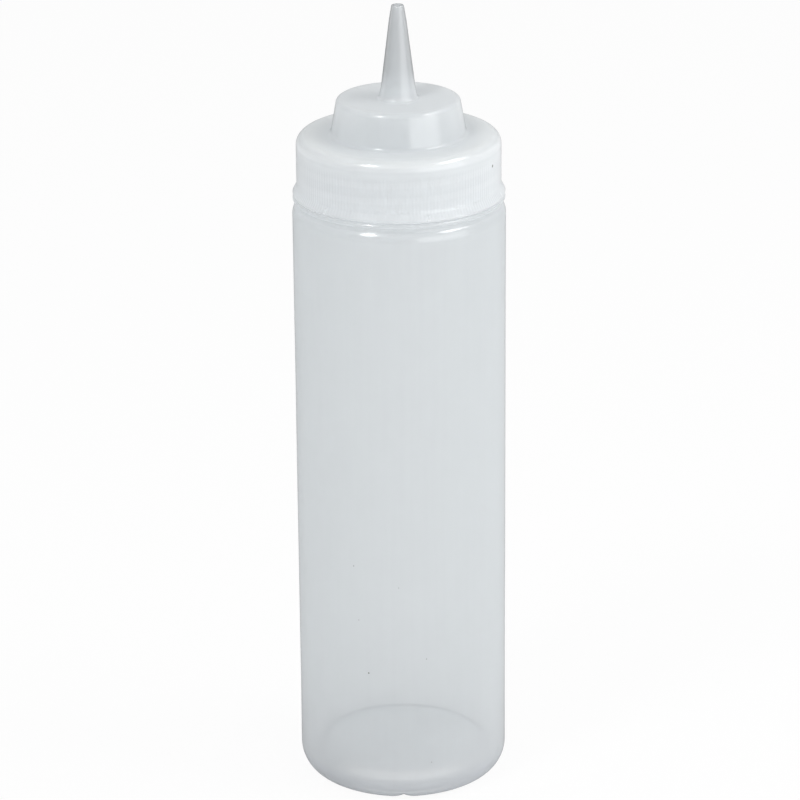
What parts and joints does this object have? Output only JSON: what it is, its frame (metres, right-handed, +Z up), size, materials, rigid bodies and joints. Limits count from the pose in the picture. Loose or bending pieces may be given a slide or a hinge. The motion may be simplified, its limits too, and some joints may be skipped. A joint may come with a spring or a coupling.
{
  "type": "condiment squeeze bottle",
  "caption": "Soft translucent squeeze bottle with a wide threaded neck and a ribbed screw cap with a raised hub and a cone nozzle.",
  "frame": {"origin": "centre of the base, on the surface that the bottle stands on", "axes": "+Z up along the bottle's axis to the nozzle, -Y to the front that the picture shows, with the parting line of the heel in the YZ plane"},
  "size_m": [0.07, 0.07, 0.268],
  "materials": {
    "bottle_plastic": "satin, milky and see-through natural low-density polyethylene",
    "cap_plastic": "satin, milky natural low-density polyethylene, slightly whiter than the bottle",
    "washer_foam": "matt white polyethylene foam"
  },
  "bodies": {
    "bottle": {"bottle": "bottle_plastic"},
    "washer": {"sealing_washer": "washer_foam"},
    "cap": {"screw_cap": "cap_plastic"}
  },
  "joints": [
    {"name": "cap_lift", "type": "slide", "parent": "bottle", "child": "washer", "axis": [0, 0, 1], "range_m": [0, 0.0083]},
    {"name": "cap_turn", "type": "hinge", "parent": "washer", "child": "cap", "pos_m": [0, 0, 0.2], "axis": [0, 0, 1], "range_deg": [0, 585]}
  ],
  "couplings": [
    {"joint": "cap_lift", "follows": "cap_turn", "m_per_rad": 0.00080851}
  ]
}
